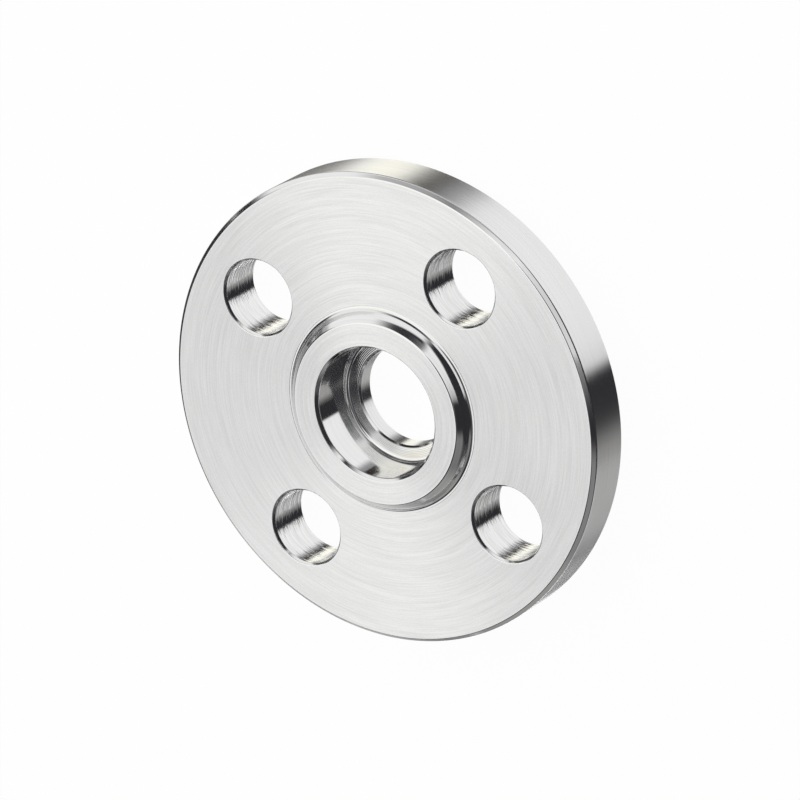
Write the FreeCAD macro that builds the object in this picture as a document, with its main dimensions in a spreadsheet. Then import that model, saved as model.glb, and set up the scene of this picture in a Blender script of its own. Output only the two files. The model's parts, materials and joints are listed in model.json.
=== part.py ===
import FreeCAD, Part
import os
import Sketcher

# Socket weld flange for 3/4 inch (DN20) steel pipe, class 150: one forging, turned and drilled.
# It lies on its raised face with the hub up. The origin is the middle of the raised face, on the
# flange's axis, and +Z points out of the hub. Lengths are in millimetres, angles in degrees.

SIZES = {
    # The disc
    "flange_diameter": 100.0,
    "disc_thickness": 11.2,
    "front_rim_chamfer": 0.8,
    "back_rim_chamfer": 0.9,
    # The raised face that meets the gasket
    "raised_face_diameter": 42.9,
    "raised_face_height": 1.6,
    "raised_face_edge_chamfer": 0.3,
    "raised_face_root_fillet": 0.6,
    # The short tapered hub
    "hub_height": 2.6,
    "hub_base_diameter": 42.9,
    "hub_top_diameter": 38.6,
    "hub_root_fillet": 1.6,
    "hub_edge_fillet": 0.3,
    # The socket that takes the pipe's end, and the bore below its shoulder
    "pipe_diameter": 26.7,
    "socket_clearance": 1.0,
    "socket_depth": 11.0,
    "socket_mouth_chamfer": 0.65,
    "socket_root_fillet": 0.9,
    "bore_diameter": 20.9,
    "bore_top_chamfer": 0.4,
    "bore_bottom_chamfer": 0.7,
    # The bolt holes: their circle, 69.9 across, lies just inside the middle of the disc's bare face
    "bolt_circle_inset": 1.55,
    "bolt_count": 4,
    "first_bolt_angle": 45.0,
    "bolt_hole_diameter": 15.9,
    "bolt_hole_front_chamfer": 0.5,
    "bolt_hole_back_chamfer": 0.9,
}

# Distances from the axis
BORE = "Sizes.bore_diameter / 2"
SOCKET = "(Sizes.pipe_diameter + Sizes.socket_clearance) / 2"
HUB_TOP = "Sizes.hub_top_diameter / 2"
HUB_BASE = "Sizes.hub_base_diameter / 2"
RAISED_FACE = "Sizes.raised_face_diameter / 2"
RIM = "Sizes.flange_diameter / 2"
BOLT_CIRCLE = f"({HUB_BASE} + {RIM} - Sizes.bolt_circle_inset) / 2"
BOLT_HOLE = "Sizes.bolt_hole_diameter / 2"

# Heights above the raised face
GASKET_FACE = "0"
DISC_BACK = "Sizes.raised_face_height"
DISC_FRONT = f"{DISC_BACK} + Sizes.disc_thickness"
HUB_FACE = f"{DISC_FRONT} + Sizes.hub_height"
SHOULDER = f"{HUB_FACE} - Sizes.socket_depth"

# How a sketch names the origin and the ends of its lines
ORIGIN = -1
START = 1
END = 2
CENTRE = 3

SAME = 0.001


def size_sheet(doc):
    """The driving sizes, one row each: the name in column A, the number in column B."""
    sheet = doc.addObject("Spreadsheet::Sheet", "Sizes")
    for row, (name, number) in enumerate(SIZES.items(), start=1):
        sheet.set(f"A{row}", name)
        sheet.set(f"B{row}", str(number))
        sheet.setAlias(f"B{row}", name)
    doc.recompute()


def worked_out(body, expression):
    return float(body.evalExpression(expression))


def new_sketch(body, name, role):
    plane = next(item for item in body.Origin.OriginFeatures if item.Role == role)
    sketch = body.newObject("Sketcher::SketchObject", name)
    sketch.AttachmentSupport = [(plane, "")]
    sketch.MapMode = "FlatFace"
    return sketch


def bind(sketch, expression, *dimension):
    """Adds a dimension to the sketch and ties it to the sheet."""
    constraint = Sketcher.Constraint(*dimension, worked_out(sketch, expression))
    index = sketch.addConstraint(constraint)
    sketch.setExpression(f"Constraints[{index}]", expression)


def turned_section(body):
    """Half the flange's section with sharp corners: across is from the axis, up is the height."""
    corners = [
        (BORE, GASKET_FACE),
        (RAISED_FACE, GASKET_FACE),
        (RAISED_FACE, DISC_BACK),
        (RIM, DISC_BACK),
        (RIM, DISC_FRONT),
        (HUB_BASE, DISC_FRONT),
        (HUB_TOP, HUB_FACE),
        (SOCKET, HUB_FACE),
        (SOCKET, SHOULDER),
        (BORE, SHOULDER),
    ]
    sketch = new_sketch(body, "TurnedSection", "XZ_Plane")
    points = [
        FreeCAD.Vector(worked_out(body, across), worked_out(body, up), 0) for across, up in corners
    ]
    for start, end in zip(points, points[1:] + points[:1]):
        sketch.addGeometry(Part.LineSegment(start, end), False)

    for line, (across, up) in enumerate(corners):
        following = (line + 1) % len(corners)
        next_across, next_up = corners[following]
        sketch.addConstraint(Sketcher.Constraint("Coincident", line, END, following, START))
        if up == next_up:
            sketch.addConstraint(Sketcher.Constraint("Horizontal", line))
            if up == GASKET_FACE:
                sketch.addConstraint(Sketcher.Constraint("PointOnObject", line, START, ORIGIN))
            else:
                bind(sketch, up, "DistanceY", ORIGIN, START, line, START)
        elif across == next_across:
            sketch.addConstraint(Sketcher.Constraint("Vertical", line))
            bind(sketch, across, "DistanceX", ORIGIN, START, line, START)
        else:
            bind(sketch, across, "DistanceX", ORIGIN, START, line, START)
            bind(sketch, next_across, "DistanceX", ORIGIN, START, line, END)
    return sketch


def turn(body):
    """The blank, turned all round the axis."""
    section = turned_section(body)
    blank = body.newObject("PartDesign::Revolution", "TurnedBlank")
    blank.Profile = section
    blank.ReferenceAxis = (section, ["V_Axis"])
    blank.Angle = 360
    body.Document.recompute()


def bolt_hole_circle(body):
    """One bolt hole's circle, at the end of a spoke from the axis."""
    sketch = new_sketch(body, "BoltHoleCircle", "XY_Plane")
    reach = FreeCAD.Vector(worked_out(body, BOLT_CIRCLE), 0, 0)
    up = FreeCAD.Vector(0, 0, 1)
    middle = FreeCAD.Rotation(up, worked_out(body, "Sizes.first_bolt_angle")).multVec(reach)
    spoke = sketch.addGeometry(Part.LineSegment(FreeCAD.Vector(), middle), True)
    hole = sketch.addGeometry(Part.Circle(middle, up, worked_out(body, BOLT_HOLE)), False)
    sketch.addConstraint(Sketcher.Constraint("Coincident", spoke, START, ORIGIN, START))
    sketch.addConstraint(Sketcher.Constraint("Coincident", hole, CENTRE, spoke, END))
    bind(sketch, BOLT_CIRCLE, "Distance", spoke)
    bind(sketch, BOLT_HOLE, "Radius", hole)
    turn_from_x = sketch.addConstraint(
        Sketcher.Constraint("Angle", ORIGIN, START, spoke, START, middle.getAngle(reach)))
    sketch.setExpression(f"Constraints[{turn_from_x}]", "Sizes.first_bolt_angle * 1 deg")
    return sketch


def drill(body):
    """Drills one bolt hole up through the disc and repeats it round the axis."""
    undrilled = body.Tip.Shape.Volume
    circle = bolt_hole_circle(body)
    hole = body.newObject("PartDesign::Pocket", "BoltHole")
    hole.Profile = circle
    hole.Type = "ThroughAll"
    hole.Reversed = True
    holes = body.newObject("PartDesign::PolarPattern", "BoltHoles")
    holes.Originals = [hole]
    holes.Axis = (circle, ["N_Axis"])
    holes.Angle = 360
    holes.setExpression("Occurrences", "Sizes.bolt_count")
    body.Tip = holes
    body.Document.recompute()
    if holes.Shape.Volume > undrilled - SAME:
        raise RuntimeError("the bolt holes removed nothing")


def ring_edges(shape, radius, height):
    """Names of the round edges that have one radius and lie at one height."""
    return [
        f"Edge{number}"
        for number, edge in enumerate(shape.Edges, start=1)
        if isinstance(edge.Curve, Part.Circle)
        and abs(edge.Curve.Radius - radius) < SAME
        and abs(edge.Curve.Center.z - height) < SAME
    ]


def work_edge(body, name, radius, height, kind, measure, size):
    """Works the round edges of one radius and height to a chamfer or a fillet."""
    base = body.Tip
    edges = ring_edges(base.Shape, worked_out(body, radius), worked_out(body, height))
    if not edges:
        raise RuntimeError(f"{name} finds no edge")
    feature = body.newObject(f"PartDesign::{kind}", name)
    feature.Base = (base, edges)
    feature.setExpression(measure, f"Sizes.{size}")
    body.Document.recompute()


def fillet(body, name, radius, height, size):
    work_edge(body, name, radius, height, "Fillet", "Radius", size)


def chamfer(body, name, radius, height, size):
    work_edge(body, name, radius, height, "Chamfer", "Size", size)


def round_turned_corners(body):
    fillet(body, "HubRoot", HUB_BASE, DISC_FRONT, "hub_root_fillet")
    fillet(body, "HubEdge", HUB_TOP, HUB_FACE, "hub_edge_fillet")
    fillet(body, "SocketRoot", SOCKET, SHOULDER, "socket_root_fillet")
    fillet(body, "RaisedFaceRoot", RAISED_FACE, DISC_BACK, "raised_face_root_fillet")


def break_turned_edges(body):
    chamfer(body, "FrontRim", RIM, DISC_FRONT, "front_rim_chamfer")
    chamfer(body, "BackRim", RIM, DISC_BACK, "back_rim_chamfer")
    chamfer(body, "RaisedFaceEdge", RAISED_FACE, GASKET_FACE, "raised_face_edge_chamfer")
    chamfer(body, "SocketMouth", SOCKET, HUB_FACE, "socket_mouth_chamfer")
    chamfer(body, "BoreTop", BORE, SHOULDER, "bore_top_chamfer")
    chamfer(body, "BoreBottom", BORE, GASKET_FACE, "bore_bottom_chamfer")


def break_drilled_edges(body):
    chamfer(body, "HoleFronts", BOLT_HOLE, DISC_FRONT, "bolt_hole_front_chamfer")
    chamfer(body, "HoleBacks", BOLT_HOLE, DISC_BACK, "bolt_hole_back_chamfer")


def check(doc, body):
    for item in doc.Objects:
        if {"Invalid", "Error"} & set(item.State):
            raise RuntimeError(f"{item.Name} failed: {item.State}")
    if body.Shape.isNull() or not body.Shape.isValid() or len(body.Shape.Solids) != 1:
        raise RuntimeError(f"{body.Label} isn't one valid solid")


doc = FreeCAD.newDocument("SocketWeldFlange")
size_sheet(doc)

flange = doc.addObject("PartDesign::Body", "Flange")
flange.Label = "flange"
flange.Placement = FreeCAD.Placement()
turn(flange)
round_turned_corners(flange)
break_turned_edges(flange)
drill(flange)
break_drilled_edges(flange)

check(doc, flange)
os.makedirs("parts", exist_ok=True)
flange.Shape.exportStep(f"parts/{flange.Label}.step")
print(f"{flange.Label}: {flange.Shape.Volume / 1000:.2f} cm3, {flange.Shape.BoundBox}")
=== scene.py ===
import json

import bmesh
import bpy
import numpy as np
from mathutils import Matrix, Vector


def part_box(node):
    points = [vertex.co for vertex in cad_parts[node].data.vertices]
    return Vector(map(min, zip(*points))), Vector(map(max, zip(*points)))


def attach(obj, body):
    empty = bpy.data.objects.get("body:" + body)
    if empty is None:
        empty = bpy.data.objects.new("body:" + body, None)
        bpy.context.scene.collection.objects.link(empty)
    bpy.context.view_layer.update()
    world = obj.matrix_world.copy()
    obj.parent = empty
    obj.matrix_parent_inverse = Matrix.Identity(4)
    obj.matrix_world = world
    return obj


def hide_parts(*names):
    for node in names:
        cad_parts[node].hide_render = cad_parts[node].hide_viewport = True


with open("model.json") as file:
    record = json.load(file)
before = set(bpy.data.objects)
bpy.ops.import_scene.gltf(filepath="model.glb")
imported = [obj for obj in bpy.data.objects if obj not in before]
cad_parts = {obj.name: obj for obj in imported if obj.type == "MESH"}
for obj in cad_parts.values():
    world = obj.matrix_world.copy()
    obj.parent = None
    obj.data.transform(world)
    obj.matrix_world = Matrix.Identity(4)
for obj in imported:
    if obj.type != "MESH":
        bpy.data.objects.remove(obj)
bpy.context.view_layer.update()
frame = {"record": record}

# The turned blank. One steel forging, held in the lathe and turned on both sides: rim, front face,
# tapered hub, socket, shoulder and bore. Every edge is broken and every inside corner keeps the
# tool's nose radius.
MM = 0.001
mounts = {mount["name"]: mount["dims"] for mount in frame["record"]["mounts"]}
flange_low, flange_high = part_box("flange")

RAISED_FACE_HEIGHT = 1.6 * MM
HUB_HEIGHT = 2.6 * MM
SOCKET_DEPTH = 11.0 * MM
GASKET_FACE = flange_low.z
DISC_BACK = RAISED_FACE_HEIGHT
HUB_FACE = flange_high.z
DISC_FRONT = HUB_FACE - HUB_HEIGHT
SHOULDER = HUB_FACE - SOCKET_DEPTH

RAISED_FACE_DIAMETER = 42.9 * MM
HUB_BASE_DIAMETER = 42.9 * MM
HUB_TOP_DIAMETER = 38.6 * MM
BORE = mounts["flow_bore"]["r_mm"] * MM
SOCKET = mounts["pipe_socket"]["r_mm"] * MM
RIM = flange_high.x
RAISED_FACE = RAISED_FACE_DIAMETER / 2
HUB_BASE = HUB_BASE_DIAMETER / 2
HUB_TOP = HUB_TOP_DIAMETER / 2

RIM_CHAMFER_WIDTH = 0.88 * MM
RIM_CHAMFER_DEPTH = 0.74 * MM
RIM_EDGE = 0.45 * MM
BACK_RIM_CHAMFER = 0.9 * MM
RAISED_FACE_CHAMFER = 0.3 * MM
RAISED_FACE_ROOT = 0.6 * MM
SCORE_OUTSIDE_HUB = 0.75 * MM
SCORE_WIDTH = 0.13 * MM
SCORE_DEPTH = 0.05 * MM
SCORE_EDGE = 0.02 * MM
HUB_ROOT = 0.95 * MM
FOOT_HEIGHT = 0.50 * MM
FOOT_SLOPE = np.radians(43.5)
FOOT_EDGE = 0.10 * MM
HUB_CROWN = 0.19 * MM
HUB_CROWN_RADIUS = 3.5 * MM
HUB_EDGE = 0.60 * MM
MOUTH_WIDTH = 0.58 * MM
MOUTH_DEPTH = 0.72 * MM
MOUTH_LIP = 0.25 * MM
MOUTH_EDGE = 0.45 * MM
SOCKET_ROOT = 0.9 * MM
BORE_TOP_CHAMFER = 0.4 * MM
BORE_BOTTOM_CHAMFER = 0.7 * MM
BROKEN_EDGE = 0.08 * MM

ARC_STEPS = 6
QUARTER_STEPS = 64

FACED, RIM_TURNED, HUB_TURNED, BORED, BORE_CUT, SHOULDER_BORED, DRILLED, GASKET, BACK = range(9)
MADE_APART = -1


def right_of(direction):
    """The direction a quarter turn to the right: (x, y) becomes (y, -x)."""
    return np.stack([direction[..., 1], -direction[..., 0]], -1)


def unit(vectors):
    return vectors / np.linalg.norm(vectors, axis=-1, keepdims=True)


def rounded(points, radii, closed):
    """An outline with every corner rounded. Each corner becomes an arc of its own radius that
    touches both of its sides, starting the radius times tan(half the turn) before the corner, so
    the outline has one true normal at every point: to the right of the way it runs."""
    if closed:
        before, corner, after = np.roll(points, 1, 0), points, np.roll(points, -1, 0)
    else:
        before, corner, after = points[:-2], points[1:-1], points[2:]
    coming, going = unit(corner - before), unit(after - corner)
    turn = np.arctan2(
        coming[:, 0] * going[:, 1] - coming[:, 1] * going[:, 0], (coming * going).sum(1))
    start = corner - coming * (radii * np.tan(np.abs(turn) / 2))[:, None]
    bulge = (np.sign(turn) * radii)[:, None]
    centre = start - bulge * right_of(coming)
    swing = turn[:, None] * np.linspace(0, 1, ARC_STEPS + 1)
    way = np.stack([
        coming[:, :1] * np.cos(swing) - coming[:, 1:] * np.sin(swing),
        coming[:, :1] * np.sin(swing) + coming[:, 1:] * np.cos(swing)], -1)
    normals = right_of(way)
    arcs = centre[:, None] + bulge[:, None] * normals
    return arcs.reshape(-1, 2), normals.reshape(-1, 2)


def grid_faces(rows, columns, flipped=False):
    """The faces of a grid of points, row by row. Each joins a point, its next in the row, and the
    two beside them in the next row, or the other way round if flipped."""
    corner = np.arange((rows - 1) * columns).reshape(rows - 1, columns)[:, :-1].ravel()
    faces = np.stack([corner, corner + 1, corner + columns + 1, corner + columns], 1)
    return faces[:, ::-1] if flipped else faces


def spun(outline, normals, finishes, angles, middle=(0, 0)):
    """A surface turned about an upright axis: the outline's distance from the axis goes round
    through the angles as (distance cos, distance sin), its height stays. Its pattern coordinates
    are the fraction of a turn and the length along the outline in millimetres."""
    across, up = outline[:, :1], outline[:, 1:]
    out, level = normals[:, :1], normals[:, 1:]
    cos, sin = np.cos(angles)[None], np.sin(angles)[None]
    all_round = np.ones_like(cos)
    along = np.r_[0, np.cumsum(np.linalg.norm(np.diff(outline, axis=0), axis=1))][:, None] / MM
    keep = np.repeat(np.asarray(finishes) != MADE_APART, len(angles) - 1)
    return {
        "points": np.stack(
            [middle[0] + across * cos, middle[1] + across * sin, up * all_round], -1),
        "normals": np.stack([out * cos, out * sin, level * all_round], -1),
        "pattern": np.stack(np.broadcast_arrays(angles[None] / (2 * np.pi), along), -1),
        "faces": grid_faces(len(outline), len(angles))[keep],
        "finishes": np.repeat(finishes, len(angles) - 1)[keep],
    }


# The hub's cone swells a little in its middle and runs out shallower at its foot. Just outside the
# foot the tool left a fine V groove in the face.
score_start = HUB_BASE + SCORE_OUTSIDE_HUB
hub_foot = np.array([HUB_BASE, DISC_FRONT])
hub_head = np.array([HUB_TOP, HUB_FACE])
hub_crown = (hub_foot + hub_head) / 2 + HUB_CROWN * right_of(unit(hub_head - hub_foot))
foot_top = hub_foot + (hub_crown - hub_foot) * FOOT_HEIGHT / (hub_crown[1] - DISC_FRONT)
foot_end = foot_top + FOOT_HEIGHT * np.array([1 / np.tan(FOOT_SLOPE), -1])

# Each corner of the section: distance from the axis, height, radius, and the finish of the side
# that follows it.
corners = [
    (BORE, GASKET_FACE + BORE_BOTTOM_CHAMFER, BROKEN_EDGE, BORED),
    (BORE + BORE_BOTTOM_CHAMFER, GASKET_FACE, BROKEN_EDGE, MADE_APART),
    (RAISED_FACE - RAISED_FACE_CHAMFER, GASKET_FACE, BROKEN_EDGE, BACK),
    (RAISED_FACE, GASKET_FACE + RAISED_FACE_CHAMFER, BROKEN_EDGE, BACK),
    (RAISED_FACE, DISC_BACK, RAISED_FACE_ROOT, MADE_APART),
    (RIM - BACK_RIM_CHAMFER, DISC_BACK, BROKEN_EDGE, RIM_TURNED),
    (RIM, DISC_BACK + BACK_RIM_CHAMFER, BROKEN_EDGE, RIM_TURNED),
    (RIM, DISC_FRONT - RIM_CHAMFER_DEPTH, RIM_EDGE, HUB_TURNED),
    (RIM - RIM_CHAMFER_WIDTH, DISC_FRONT, RIM_EDGE, MADE_APART),
    (score_start, DISC_FRONT, SCORE_EDGE, HUB_TURNED),
    (score_start - SCORE_WIDTH / 2, DISC_FRONT - SCORE_DEPTH, SCORE_EDGE, HUB_TURNED),
    (score_start - SCORE_WIDTH, DISC_FRONT, SCORE_EDGE, HUB_TURNED),
    (*foot_end, HUB_ROOT, HUB_TURNED),
    (*foot_top, FOOT_EDGE, HUB_TURNED),
    (*hub_crown, HUB_CROWN_RADIUS, HUB_TURNED),
    (*hub_head, HUB_EDGE, FACED),
    (SOCKET + MOUTH_WIDTH, HUB_FACE, MOUTH_LIP, BORED),
    (SOCKET, HUB_FACE - MOUTH_DEPTH, MOUTH_EDGE, BORED),
    (SOCKET, SHOULDER, SOCKET_ROOT, MADE_APART),
    (BORE + BORE_TOP_CHAMFER, SHOULDER, BROKEN_EDGE, BORED),
    (BORE, SHOULDER - BORE_TOP_CHAMFER, BROKEN_EDGE, BORE_CUT),
]
section = np.array([corner[:2] for corner in corners])
section_radii = np.array([corner[2] for corner in corners])
side_finishes = np.array([corner[3] for corner in corners])
outline, outline_normals = rounded(section, section_radii, closed=True)

# The flat sides that are made apart, as distances from the axis: from the end of one corner's arc
# to the start of the next corner's.
gasket_side, back_side, front_side, shoulder_side = [
    (outline[number * (ARC_STEPS + 1) + ARC_STEPS, 0], outline[(number + 1) * (ARC_STEPS + 1), 0])
    for number in np.flatnonzero(side_finishes == MADE_APART)
]


def stretch_finishes(sides):
    """One finish for each stretch of the outline: a corner's arc takes the finish of the side after
    it, or of the side before it where the side after it is faced or made apart."""
    arcs = np.where(np.isin(sides, (MADE_APART, FACED)), np.roll(sides, 1), sides)
    return np.concatenate([np.repeat(arcs[:, None], ARC_STEPS, 1), sides[:, None]], 1).ravel()


round_the_axis = np.linspace(0, 2 * np.pi, 4 * QUARTER_STEPS + 1)
outline = np.vstack([outline, outline[:1]])
outline_normals = np.vstack([outline_normals, outline_normals[:1]])
patches = [spun(outline, outline_normals, stretch_finishes(side_finishes), round_the_axis)]

# The gasket face. The raised face carries the fine grooves that a round-nosed tool leaves when it
# is fed slowly across it. They bite into the gasket. The boring tool leaves finer ones on the
# socket's shoulder.
GASKET_PITCH = 0.8 * MM
GASKET_DEPTH = 0.05 * MM
SHOULDER_PITCH = 0.36 * MM
SHOULDER_DEPTH = 0.022 * MM
GROOVE_STEPS = 6


def grooved(ends, height, facing, pitch, depth, finish):
    """A flat ring between two distances from the axis with round grooves in it: its height falls by
    the depth times (1 - cos(turns)) / 2, one turn for each groove."""
    count = round(abs(ends[1] - ends[0]) / pitch)
    turns = np.linspace(0, count * 2 * np.pi, count * GROOVE_STEPS + 1)
    across = np.linspace(*ends, len(turns))
    up = height - facing * depth * (1 - np.cos(turns)) / 2
    slope = depth / 2 * np.sin(turns) * count * 2 * np.pi / (ends[1] - ends[0])
    normals = unit(np.stack([slope, np.full_like(slope, facing)], 1))
    finishes = np.full(len(turns) - 1, finish)
    return spun(np.stack([across, up], 1), normals, finishes, round_the_axis)


patches.append(grooved(gasket_side, GASKET_FACE, -1, GASKET_PITCH, GASKET_DEPTH, GASKET))
patches.append(grooved(shoulder_side, SHOULDER, 1, SHOULDER_PITCH, SHOULDER_DEPTH, SHOULDER_BORED))

# The bolt holes. They are drilled after turning, on a circle round the axis, and both of their ends
# are chamfered, the back a little more than the front. The faces round them are ruled from each
# hole's edge out to the hub's root, the rim and the half-way spokes.
BOLT_CIRCLE = mounts["bolt_holes"]["pcd_mm"] / 2 * MM
BOLT_HOLE = mounts["bolt_holes"]["hole_r_mm"] * MM
HOLE_FRONT_WIDTH = 0.42 * MM
HOLE_FRONT_DEPTH = 0.60 * MM
HOLE_BACK_CHAMFER = 0.9 * MM
HOLE_LIP = 0.32 * MM
HOLE_EDGE = 0.12 * MM
SPOKE_STEPS = 16
RULING_STEPS = np.array([0, 0.35, 1])

back_inner, back_outer = back_side
front_outer, front_inner = front_side


def quarter_border(inner, outer):
    """The edge of one quarter of a ring, once round from the outer arc's start: as angle and
    distance from the axis."""
    sweep = np.linspace(0, np.pi / 2, QUARTER_STEPS + 1)[:-1]
    spoke = np.linspace(outer, inner, SPOKE_STEPS + 1)[:-1]
    angle = np.concatenate([
        sweep, np.full(SPOKE_STEPS, np.pi / 2), np.pi / 2 - sweep, np.zeros(SPOKE_STEPS)])
    distance = np.concatenate([
        np.full(QUARTER_STEPS, outer), spoke, np.full(QUARTER_STEPS, inner), inner + outer - spoke])
    return np.r_[angle, angle[:1]], np.r_[distance, distance[:1]]


border_angle, border_distance = quarter_border(front_inner, front_outer)
hole_middle = BOLT_CIRCLE * np.array([np.cos(np.pi / 4), np.sin(np.pi / 4)])
hole_angles = np.unwrap(np.arctan2(
    border_distance * np.sin(border_angle) - hole_middle[1],
    border_distance * np.cos(border_angle) - hole_middle[0]))


def ruled_face(height, hole_edge, inner, outer, quarter, facing_up):
    """A flat face round one bolt hole: straight rulings from the hole's edge, each at the angle at
    which the hole's middle sees its point of the border, out to the border of the quarter."""
    angle, distance = quarter_border(inner, outer)
    border = np.stack([distance * np.cos(angle), distance * np.sin(angle)], -1)
    edge = hole_middle + hole_edge * np.stack([np.cos(hole_angles), np.sin(hole_angles)], -1)
    flat = edge + RULING_STEPS[:, None, None] * (border - edge)
    turned = quarter * np.pi / 2
    cos, sin = np.cos(turned), np.sin(turned)
    x, y = flat[..., 0] * cos - flat[..., 1] * sin, flat[..., 0] * sin + flat[..., 1] * cos
    around = np.arctan2(flat[..., 1], flat[..., 0]) + turned
    points = np.stack([x, y, np.full_like(x, height)], -1)
    faces = grid_faces(len(RULING_STEPS), len(angle), flipped=facing_up)
    return {
        "points": points,
        "normals": np.broadcast_to([0, 0, 1 if facing_up else -1], points.shape),
        "pattern": np.stack([around / (2 * np.pi), np.hypot(x, y) / MM], -1),
        "faces": faces,
        "finishes": np.full(len(faces), FACED if facing_up else BACK),
    }


# From the front face down through the hole to the back, with a width of flat face at both ends
hole_section = np.array([
    (BOLT_HOLE + 2 * HOLE_FRONT_WIDTH, DISC_FRONT),
    (BOLT_HOLE + HOLE_FRONT_WIDTH, DISC_FRONT),
    (BOLT_HOLE, DISC_FRONT - HOLE_FRONT_DEPTH),
    (BOLT_HOLE, DISC_BACK + HOLE_BACK_CHAMFER),
    (BOLT_HOLE + HOLE_BACK_CHAMFER, DISC_BACK),
    (BOLT_HOLE + 2 * HOLE_BACK_CHAMFER, DISC_BACK),
])
hole_radii = np.array([HOLE_LIP, HOLE_EDGE, HOLE_EDGE, HOLE_EDGE])
hole_outline, hole_normals = rounded(hole_section, hole_radii, closed=False)

# The lip and the chamfers are cut as bright as the hub. Only the wall between them keeps the drill's
# marks, and the lip starts as a part of the face.
hole_finishes = np.full(len(hole_outline) - 1, HUB_TURNED)
hole_finishes[2 * ARC_STEPS:-2 * ARC_STEPS] = DRILLED
hole_finishes[0] = FACED
for quarter in range(4):
    heading = quarter * np.pi / 2 + np.pi / 4
    middle = BOLT_CIRCLE * np.cos(heading), BOLT_CIRCLE * np.sin(heading)
    seen = hole_angles + quarter * np.pi / 2
    patches.append(spun(hole_outline, hole_normals, hole_finishes, seen, middle))
    patches.append(ruled_face(
        DISC_FRONT, hole_outline[0, 0], front_inner, front_outer, quarter, facing_up=True))
    patches.append(ruled_face(
        DISC_BACK, hole_outline[-1, 0], back_inner, back_outer, quarter, facing_up=False))

# The finished flange. Turned, grooved and drilled surfaces are all cuts into one forging, so they
# close into one skin, with nothing fixed to it and nothing inside.
SAME_POINT = 0.002 * MM


def joined(name, patches):
    """One closed mesh of all the patches. Their shared borders are merged, and each corner keeps
    the normal that its patch's formula gives."""
    counts = np.cumsum([0] + [patch["points"].size // 3 for patch in patches])
    points = np.concatenate([patch["points"].reshape(-1, 3) for patch in patches])
    normals = np.concatenate([patch["normals"].reshape(-1, 3) for patch in patches])
    pattern = np.concatenate([patch["pattern"].reshape(-1, 2) for patch in patches])
    faces = np.concatenate([patch["faces"] + first for patch, first in zip(patches, counts)])
    finishes = np.concatenate([patch["finishes"] for patch in patches])

    mesh = bpy.data.meshes.new(name)
    mesh.from_pydata(points, [], faces.tolist())
    mesh.polygons.foreach_set("use_smooth", np.ones(len(faces), dtype=bool))
    mesh.polygons.foreach_set("material_index", finishes.astype(np.int32))
    layer = mesh.uv_layers.new(name="Turning")
    layer.uv.foreach_set("vector", pattern[faces.ravel()].astype(np.float32).ravel())
    true_normal = mesh.attributes.new("true_normal", "FLOAT_VECTOR", "POINT")
    true_normal.data.foreach_set("vector", normals.astype(np.float32).ravel())

    shell = bmesh.new()
    shell.from_mesh(mesh)
    bmesh.ops.remove_doubles(shell, verts=shell.verts, dist=SAME_POINT)
    if not all(edge.is_manifold for edge in shell.edges):
        raise RuntimeError(f"{name} isn't closed")
    shell.to_mesh(mesh)
    shell.free()

    merged = np.empty(len(mesh.vertices) * 3, dtype=np.float32)
    mesh.attributes["true_normal"].data.foreach_get("vector", merged)
    mesh.normals_split_custom_set_from_vertices(merged.reshape(-1, 3))
    mesh.attributes.remove(mesh.attributes["true_normal"])
    piece = bpy.data.objects.new(name, mesh)
    bpy.context.scene.collection.objects.link(piece)
    return piece


flange = joined("turned_flange", patches)
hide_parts("flange")
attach(flange, "root")

# The steel's finish. Stainless steel, bright from the tool, with no coating: fine lines follow the
# tool's path round the axis, and slow clouds cross them where the coolant dried. Lengths in the
# patterns are in millimetres.
STEEL_LIGHT = (0.87, 0.87, 0.868, 1)
STEEL_DARK = (0.72, 0.72, 0.716, 1)
HEIGHT_SHARE = 1.7
BROAD_TRACKS = 0.22
BROAD_DRIFT = 0.6
FINE_WEIGHT = 0.7
BROAD_WEIGHT = 0.3
CLOUD_SCALE = 0.09
CLOUD_TONE = 12
SPECK_SCALE = 4.0
ACROSS_THE_PATH = 0.25


class Nodes:
    """Short names for the nodes of one material."""

    def __init__(self, tree):
        self.tree = tree
        tree.nodes.clear()

    def add(self, kind, settings=None, **inputs):
        """A node with its settings and its inputs. An input goes by its socket's name, with _ for a
        space, or by its number, as in i0."""
        node = self.tree.nodes.new(kind)
        for name, value in (settings or {}).items():
            setattr(node, name, value)
        for name, value in inputs.items():
            key = int(name[1:]) if name[1:].isdigit() else name.replace("_", " ")
            if isinstance(value, bpy.types.NodeSocket):
                self.tree.links.new(value, node.inputs[key])
            else:
                node.inputs[key].default_value = value
        return node

    def math(self, operation, first, second=0.0):
        node = self.add("ShaderNodeMath", {"operation": operation}, i0=first, i1=second)
        return node.outputs[0]

    def scaled(self, vector, scale):
        node = self.add("ShaderNodeVectorMath", {"operation": "SCALE"}, i0=vector, Scale=scale)
        return node.outputs[0]

    def noise(self, vector, detail, roughness=0.5):
        return self.add(
            "ShaderNodeTexNoise", None, Vector=vector, Scale=1.0, Detail=detail,
            Roughness=roughness).outputs["Fac"]

    def between(self, value, low, high):
        """0 below low, 1 above high, and a smooth step from one to the other."""
        smooth = {"interpolation_type": "SMOOTHSTEP"}
        return self.add("ShaderNodeMapRange", smooth, i0=value, i1=low, i2=high).outputs[0]


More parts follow.
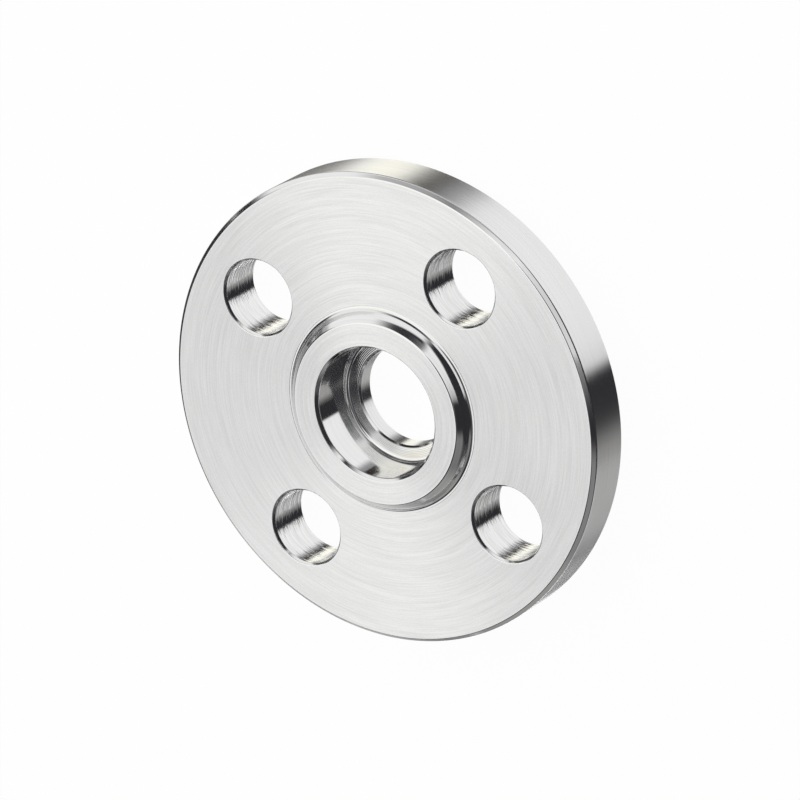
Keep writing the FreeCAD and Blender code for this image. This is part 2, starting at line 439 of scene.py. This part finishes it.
def turned_steel(name, roughness, anisotropy, density, depth, shade,
                 drift=0.015, cloud=0.03, grain=0.0, drilled=False):
    """Bare steel cut by a tool. The lines are noise that changes fast across the tool's path and
    slowly along it: across is the distance from the flange's axis plus a share of the height, or in
    a drilled hole the length down its wall. They shift the colour between dark and light steel by
    the shade, and stand up by the depth."""
    material = bpy.data.materials.new(name)
    material.use_nodes = True
    nodes = Nodes(material.node_tree)
    in_mm = nodes.scaled(nodes.add("ShaderNodeTexCoord").outputs["Object"], 1 / MM)
    spot = nodes.add("ShaderNodeSeparateXYZ", None, Vector=in_mm).outputs
    if drilled:
        turning = nodes.add("ShaderNodeUVMap", {"uv_map": "Turning"}).outputs["UV"]
        across = nodes.add("ShaderNodeSeparateXYZ", None, Vector=turning).outputs["Y"]
        path = nodes.add("ShaderNodeTangent", {"direction_type": "UV_MAP", "uv_map": "Turning"})
    else:
        x_squared = nodes.math("POWER", spot["X"], 2.0)
        y_squared = nodes.math("POWER", spot["Y"], 2.0)
        from_axis = nodes.math("SQRT", nodes.math("ADD", x_squared, y_squared))
        across = nodes.math("ADD", from_axis, nodes.math("MULTIPLY", spot["Z"], HEIGHT_SHARE))
        path = nodes.add("ShaderNodeTangent", {"direction_type": "RADIAL", "axis": "Z"})

    def tracks(density, drift):
        stretched = nodes.add(
            "ShaderNodeCombineXYZ", None,
            X=nodes.math("MULTIPLY", spot["X"], drift),
            Y=nodes.math("MULTIPLY", spot["Y"], drift),
            Z=nodes.math("MULTIPLY", across, density))
        return nodes.noise(stretched.outputs[0], detail=2.5, roughness=0.6)

    def swing(noise, amount):
        return nodes.math("MULTIPLY", nodes.math("SUBTRACT", noise, 0.5), amount)

    fine = tracks(density, drift)
    broad = tracks(density * BROAD_TRACKS, drift * BROAD_DRIFT)
    clouds = nodes.noise(nodes.scaled(in_mm, CLOUD_SCALE), detail=3.0)
    specks = nodes.noise(nodes.scaled(in_mm, SPECK_SCALE), detail=2.0)
    fine_part = nodes.math("MULTIPLY", fine, FINE_WEIGHT)
    broad_part = nodes.math("MULTIPLY", broad, BROAD_WEIGHT)
    marks = nodes.math("ADD", fine_part, broad_part)
    tone = nodes.between(marks, 0.5 - 0.5 / shade, 0.5 + 0.5 / shade)
    tone = nodes.math("ADD", tone, swing(clouds, cloud * CLOUD_TONE))
    tone = nodes.math("ADD", tone, swing(specks, grain))
    colour = nodes.add(
        "ShaderNodeMix", {"data_type": "RGBA", "clamp_factor": True},
        i0=tone, i6=STEEL_DARK, i7=STEEL_LIGHT).outputs[2]
    gloss = nodes.math("ADD", roughness - cloud, nodes.math("MULTIPLY", clouds, cloud * 2))
    relief = nodes.add(
        "ShaderNodeBump", None, Strength=1.0, Distance=depth, Height=marks).outputs["Normal"]
    surface = nodes.add(
        "ShaderNodeBsdfPrincipled", None, Base_Color=colour, Metallic=1.0, Roughness=gloss,
        Anisotropic=anisotropy, Anisotropic_Rotation=ACROSS_THE_PATH, Normal=relief,
        Tangent=path.outputs[0])
    nodes.add("ShaderNodeOutputMaterial", None, Surface=surface.outputs[0])
    return material


finishes = {
    FACED: turned_steel(
        "faced_steel", roughness=0.32, anisotropy=0.85, density=4.2, depth=0.0012 * MM, shade=1.8,
        drift=0.09, cloud=0.035, grain=1.1),
    RIM_TURNED: turned_steel(
        "rim_steel", roughness=0.175, anisotropy=0.85, density=3.0, depth=0.0006 * MM, shade=1.2,
        grain=0.3),
    HUB_TURNED: turned_steel(
        "hub_steel", roughness=0.10, anisotropy=0.4, density=4.0, depth=0.0006 * MM, shade=1.2),
    BORED: turned_steel(
        "bored_steel", roughness=0.09, anisotropy=0.4, density=4.0, depth=0.0006 * MM, shade=1.5),
    BORE_CUT: turned_steel(
        "bore_steel", roughness=0.20, anisotropy=0.3, density=3.0, depth=0.0006 * MM, shade=1.5),
    SHOULDER_BORED: turned_steel(
        "shoulder_steel", roughness=0.10, anisotropy=0.3, density=3.2, depth=0.0006 * MM,
        shade=1.5),
    DRILLED: turned_steel(
        "drilled_steel", roughness=0.09, anisotropy=0.3, density=2.0, depth=0.14 * MM, shade=2.5,
        drift=0.13, drilled=True),
    GASKET: turned_steel(
        "gasket_face_steel", roughness=0.18, anisotropy=0.5, density=2.0, depth=0.0010 * MM,
        shade=1.2),
    BACK: turned_steel(
        "back_face_steel", roughness=0.28, anisotropy=0.6, density=1.6, depth=0.0015 * MM,
        shade=1.5, grain=0.4),
}
for finish in sorted(finishes):
    flange.data.materials.append(finishes[finish])

# The studio. A white room, in which bare steel gets its contrast from hung cards and lights. Each
# has its colour and, in degrees, the softness of its edges and its corners as bearing from +X and
# height above the horizon. A later one hangs in front of the ones before it.
ROOM = (1.00, 1.00, 1.00, 1)
ROOM_SEAM = -140
BLACK = (0.03, 0.03, 0.034)
CARDS = {
    "grey low far": ((0.22, 0.215, 0.205), 7, [(158, -80), (158, -14), (206, -14), (206, -80)]),
    "pale far wall": ((0.80, 0.80, 0.80), 9, [(182, 0), (182, 38), (225, 38), (225, 0)]),
    "dim wall": (
        (0.35, 0.35, 0.345), 8,
        [(-122, -50), (-20, -50), (-20, 30), (-40, 64), (-100, 64), (-118, 30)]),
    "darker stretch": ((0.07, 0.07, 0.074), 16, [(-72, -44), (-72, 20), (-26, 34), (-26, -44)]),
    "black over dim wall": (BLACK, 4, [(-124, 12), (-20, 46), (-20, 50), (-40, 64), (-112, 62)]),
    "black corner": (BLACK, 3, [(-146, -24), (-146, 2), (-112, 30), (-96, 20), (-120, -6)]),
    "black far": (BLACK, 4, [(151, 32), (151, -2), (196, -28), (192, -4), (184, 24), (174, 38)]),
    "black low far": (BLACK, 4, [(184, -22), (184, -3), (226, 2), (226, -16), (212, -27)]),
    "dark ceiling": (
        (0.08, 0.08, 0.085), 6, [(-84, 48), (46, 47), (58, 58), (46, 95), (-80, 95)]),
    "dark floor": (
        (0.09, 0.09, 0.09), 1.5, [(-150, -48.5), (-150, -95), (-16, -95), (-16, -48.5)]),
    "grey on floor": ((0.37, 0.365, 0.36), 8, [(-102, -95), (-102, -44), (-46, -44), (-46, -95)]),
    "low strip light": (
        (2.20, 2.20, 2.20), 1.5, [(-150, -48.5), (-150, -36), (-96, -36), (-96, -48.5)]),
    "end of low strip": (
        (0.95, 0.95, 0.96), 1.5, [(-98, -48.5), (-98, -28), (-50, -28), (-50, -48.5)]),
    "black low near": (BLACK, 2.5, [(-36, -95), (-38, -42), (-4, -42), (-11, -58), (-11, -95)]),
    "black near": (
        BLACK, 5,
        [(-40, -46), (-3, -46), (58, -6), (58, 10), (46, 22), (20, 37), (0, 46), (-36, 46),
         (-50, 0)]),
    "high strip light": ((0.97, 0.97, 0.98), 1.5, [(-8, 38), (56, 38), (60, 46), (2, 46)]),
    "black flag": (BLACK, 6, [(56, 17), (56, 40), (84, 40), (114, 27)]),
    "black band": (BLACK, 4, [(60, 0), (97, -4), (160, -22), (160, -38), (60, -16)]),
    "grey low": ((0.32, 0.32, 0.33), 9, [(90, -90), (90, -34), (118, -34), (118, -90)]),
    "brown low": ((0.04, 0.035, 0.03), 2, [(104, -90), (104, -30), (120.5, -30), (120.5, -90)]),
    "warm low light": ((1.22, 1.20, 1.08), 4, [(123, -70), (123, -36), (150, -36), (150, -70)]),
    "soft box": ((1.18, 1.18, 1.17), 8, [(64, 46), (64, 74), (200, 74), (200, 46)]),
    "warm part of soft box": (
        (1.16, 1.13, 1.01), 7, [(116, 42), (116, 62), (156, 62), (156, 42)]),
}

world = bpy.data.worlds.new("studio_room")
world.use_nodes = True
room = Nodes(world.node_tree)
way = room.add("ShaderNodeTexCoord").outputs["Generated"]
heading = room.add("ShaderNodeSeparateXYZ", None, Vector=way).outputs
bearing = room.math("ARCTAN2", heading["Y"], heading["X"])
from_seam = room.math("DIVIDE", room.math("SUBTRACT", bearing, np.radians(ROOM_SEAM)), 2 * np.pi)
turn = room.math("FRACT", room.math("ADD", from_seam, 1.0))
spot = room.add(
    "ShaderNodeCombineXYZ", None, X=room.math("ADD", room.math("MULTIPLY", turn, 360.0), ROOM_SEAM),
    Y=room.math("DEGREES", room.math("ARCSINE", heading["Z"])), Z=1.0).outputs[0]


def with_card(whole, name, colour, softness, corners):
    """The room with one more flat card hung in it. A spot's depth inside the card is its least
    distance to the lines through the sides, and the card's edges fade over the softness."""
    corners = np.array(corners, dtype=float)
    across = right_of(unit(np.roll(corners, -1, axis=0) - corners))
    sides = np.column_stack([across, -(across * corners).sum(1)])
    sides *= np.sign(sides @ np.append(corners.mean(0), 1))[:, None]
    inside = 360.0
    for side in sides:
        depth = room.add("ShaderNodeVectorMath", {"operation": "DOT_PRODUCT"}, i0=spot, i1=side)
        inside = room.math("MINIMUM", inside, depth.outputs["Value"])
    shown = room.between(inside, -softness, softness)
    return room.add(
        "ShaderNodeMix", {"data_type": "RGBA", "label": name},
        i0=shown, i6=whole, i7=(*colour, 1)).outputs[2]


whole = ROOM
for name, card in CARDS.items():
    whole = with_card(whole, name, *card)
light = room.add("ShaderNodeBackground", None, Color=whole, Strength=1.0)
room.add("ShaderNodeOutputWorld", None, Surface=light.outputs[0])
bpy.context.scene.world = world

# The table. A plain white sheet of paper with no edge in view, which keeps the flange's soft
# shadow. Steel close above it looks past it into the room, as in the photograph, where the flange
# stands clear of its backdrop; from further away it shows as white in the steel too.
TABLE_SIZE = 30.0
CLEAR_OF_TABLE = 1000 * MM
PAPER = (0.92, 0.92, 0.92, 1)
WHITE = (1, 1, 1, 1)
WHITE_SHARE = 0.97
table_mesh = bpy.data.meshes.new("table")
half = TABLE_SIZE / 2
table_mesh.from_pydata(
    [(-half, -half, 0), (half, -half, 0), (half, half, 0), (-half, half, 0)], [], [(0, 1, 2, 3)])
table = bpy.data.objects.new("table", table_mesh)
bpy.context.scene.collection.objects.link(table)
paper = bpy.data.materials.new("white_paper")
paper.use_nodes = True
sheet = Nodes(paper.node_tree)
rays = sheet.add("ShaderNodeLightPath").outputs
seen = sheet.math("MAXIMUM", rays["Is Camera Ray"], rays["Is Glossy Ray"])
seen = sheet.math("MAXIMUM", seen, rays["Is Transmission Ray"])
close = sheet.math("LESS_THAN", rays["Ray Length"], CLEAR_OF_TABLE)
looks_past = sheet.math("MULTIPLY", rays["Is Glossy Ray"], close)
shaded = sheet.add("ShaderNodeBsdfDiffuse", None, Color=PAPER)
bright = sheet.add("ShaderNodeEmission", None, Color=WHITE, Strength=1.0)
gap = sheet.add("ShaderNodeBsdfTransparent")
white = sheet.add(
    "ShaderNodeMixShader", None, i0=sheet.math("MULTIPLY", seen, WHITE_SHARE),
    i1=shaded.outputs[0], i2=bright.outputs[0])
surface = sheet.add(
    "ShaderNodeMixShader", None, i0=looks_past, i1=white.outputs[0], i2=gap.outputs[0])
sheet.add("ShaderNodeOutputMaterial", None, Surface=surface.outputs[0])
table_mesh.materials.append(paper)

# The lamp. One wide soft box on the room's bright side, which lays the shadow on the paper. The
# steel mirrors the room's own soft box in its place.
LAMP_PLACE = Vector((-0.5, 0.9, 1.3))
LAMP_WIDTH = 1.6
LAMP_POWER = 7.6
lamp_data = bpy.data.lights.new("soft_box", "AREA")
lamp_data.shape = "DISK"
lamp_data.size = LAMP_WIDTH
lamp_data.energy = LAMP_POWER
lamp = bpy.data.objects.new("soft_box", lamp_data)
lamp.matrix_world = (
    Matrix.Translation(LAMP_PLACE) @ LAMP_PLACE.to_track_quat("Z", "Y").to_matrix().to_4x4())
lamp.visible_glossy = False
bpy.context.scene.collection.objects.link(lamp)

# The camera. It looks down on the hub from more than a metre away through a long lens, turned on
# its side so that the flange lies in the frame as it does in the photograph.
CAMERA_PLACE = Vector((0.65201, 0.27932, 0.89763 + DISC_FRONT))
CAMERA_AIM = Vector((0.005066, 0.002064, DISC_FRONT))
CAMERA_UP = Vector((0.02452, 0.95005, -0.31112))
FILM_WIDTH = 36
FOCAL_LENGTH = 254.93
FARTHEST_SEEN = 100
backwards = (CAMERA_PLACE - CAMERA_AIM).normalized()
sideways = CAMERA_UP.cross(backwards).normalized()
upwards = backwards.cross(sideways)
camera_data = bpy.data.cameras.new("camera")
camera_data.sensor_width = FILM_WIDTH
camera_data.lens = FOCAL_LENGTH
camera_data.clip_end = FARTHEST_SEEN
camera = bpy.data.objects.new("camera", camera_data)
turned = Matrix((sideways, upwards, backwards)).transposed().to_4x4()
camera.matrix_world = Matrix.Translation(CAMERA_PLACE) @ turned
bpy.context.scene.collection.objects.link(camera)
bpy.context.scene.camera = camera
bpy.context.scene.view_settings.view_transform = "Standard"
